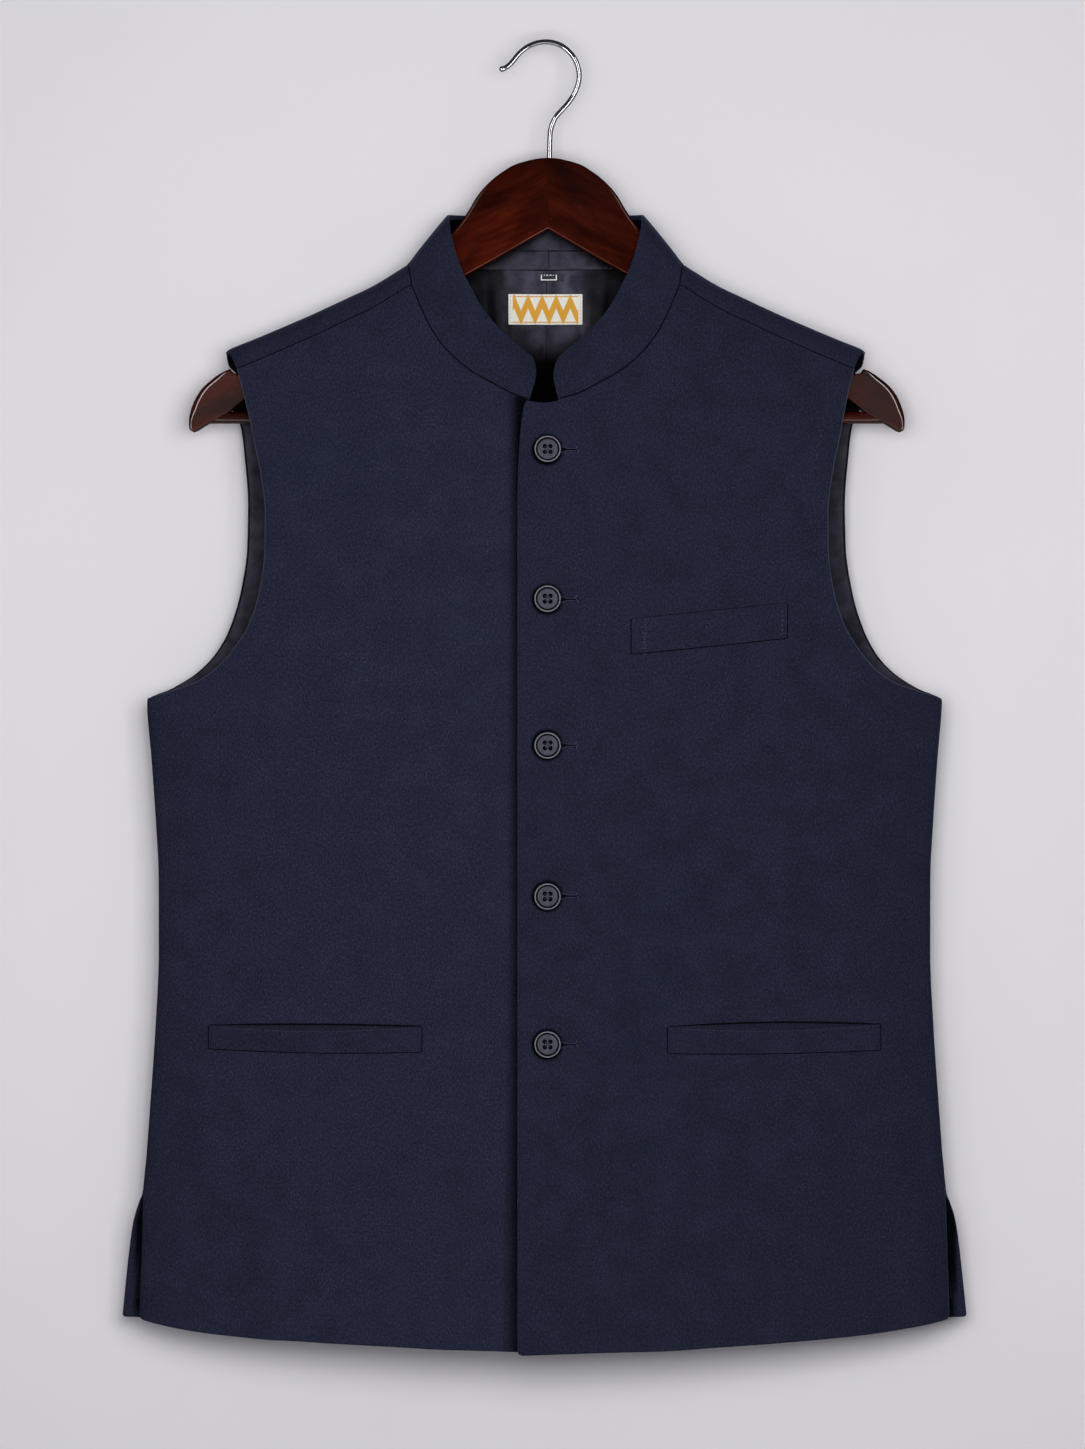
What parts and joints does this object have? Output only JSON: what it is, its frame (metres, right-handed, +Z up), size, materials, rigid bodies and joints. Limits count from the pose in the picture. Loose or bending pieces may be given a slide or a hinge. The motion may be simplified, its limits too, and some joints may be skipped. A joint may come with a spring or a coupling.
{
  "type": "nehru jacket on hanger",
  "caption": "Sleeveless stand-collar jacket, buttoned down the front, hanging on a wooden hanger with a trouser bar and a round metal hook.",
  "frame": {"origin": "inside top of the hanger's hook, where a rail carries it", "axes": "+X to the right of someone facing the jacket (the wearer's left), +Y towards its back, +Z up"},
  "size_m": [0.5508, 0.0894, 0.8484],
  "materials": {
    "cloth": "brushed navy twill",
    "lining": "charcoal satin",
    "label": "woven cream label",
    "size_label": "woven navy tab",
    "button": "slate resin, polished rim",
    "wood": "lacquered mahogany",
    "chrome": "polished wire"
  },
  "bodies": {
    "root": {"front_left": "cloth", "front_right": "cloth", "back": "cloth", "collar": "cloth", "breast_welt": "cloth", "pocket_welt_left": "cloth", "pocket_welt_right": "cloth", "back_lining": "lining", "collar_lining": "lining", "main_label": "label", "size_label": "size_label", "button_1": "button", "button_2": "button", "button_3": "button", "button_4": "button", "button_5": "button", "hanger_arm_left": "wood", "hanger_arm_right": "wood", "hanger_bar": "wood", "hook": "chrome"}
  },
  "joints": []
}
